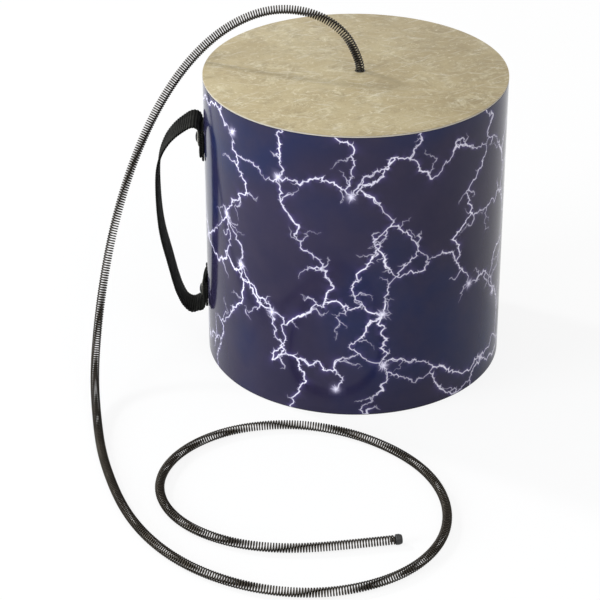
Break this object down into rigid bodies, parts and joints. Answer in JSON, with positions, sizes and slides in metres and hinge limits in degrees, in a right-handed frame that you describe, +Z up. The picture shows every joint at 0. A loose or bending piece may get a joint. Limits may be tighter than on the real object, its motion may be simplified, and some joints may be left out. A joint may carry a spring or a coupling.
{
  "type": "spring drum",
  "caption": "Round single-headed drum with a fibre shell, a webbing side handle and a long coil spring hanging from the middle of its head, which makes thunder sounds when shaken.",
  "frame": {"origin": "bottom centre of the drum with its handle, on the surface that the drum stands on; the free spring isn't counted, and the drum's own axis is at x = +25.1 mm", "axes": "+Z up, out of the head; the handle points along -X; the spring comes down to the left and curls up on the floor on the -Y side"},
  "size_m": [0.4198, 0.6114, 0.3738],
  "materials": {
    "fibre": "black sealed wood fibre",
    "wrap": "glossy printed laminate, dark violet-blue",
    "hoop": "pale resin-bonded fibre",
    "film": "mottled khaki polyester film, satin",
    "patch": "matt film patch",
    "steel": "black zinc plated",
    "nickel": "nickel plated",
    "spring_wire": "dark oiled spring steel",
    "tip_rubber": "black rubber",
    "webbing": "black ribbed nylon webbing"
  },
  "bodies": {
    "drum": {"shell": "fibre", "shell_wrap": "wrap", "head_hoop": "hoop", "head_film": "film", "head_patch": "patch", "anchor_washer": "steel", "strap_upper_tab": "webbing", "strap_lower_tab": "webbing", "upper_screw": "steel", "lower_screw": "steel", "upper_cup_washer": "nickel", "lower_cup_washer": "nickel", "upper_inner_washer": "steel", "lower_inner_washer": "steel", "upper_nut": "steel", "lower_nut": "steel"},
    "handle": {"handle_strap": "webbing"},
    "spring": {"spring": "spring_wire", "spring_tip_cap": "tip_rubber", "anchor_plug": "steel"}
  },
  "joints": [
    {"name": "handle_swing", "type": "hinge", "parent": "drum", "child": "handle", "pos_m": [-0.13023, 0, 0.1478], "axis": [0, 0, 1], "range_deg": [-15, 15], "stiffness_Nm_per_rad": 0.2},
    {"name": "spring_swivel", "type": "hinge", "parent": "drum", "child": "spring", "pos_m": [0.02958, 0.0015, 0.3051], "axis": [0, 0, 1], "range_deg": [-180, 180]}
  ]
}
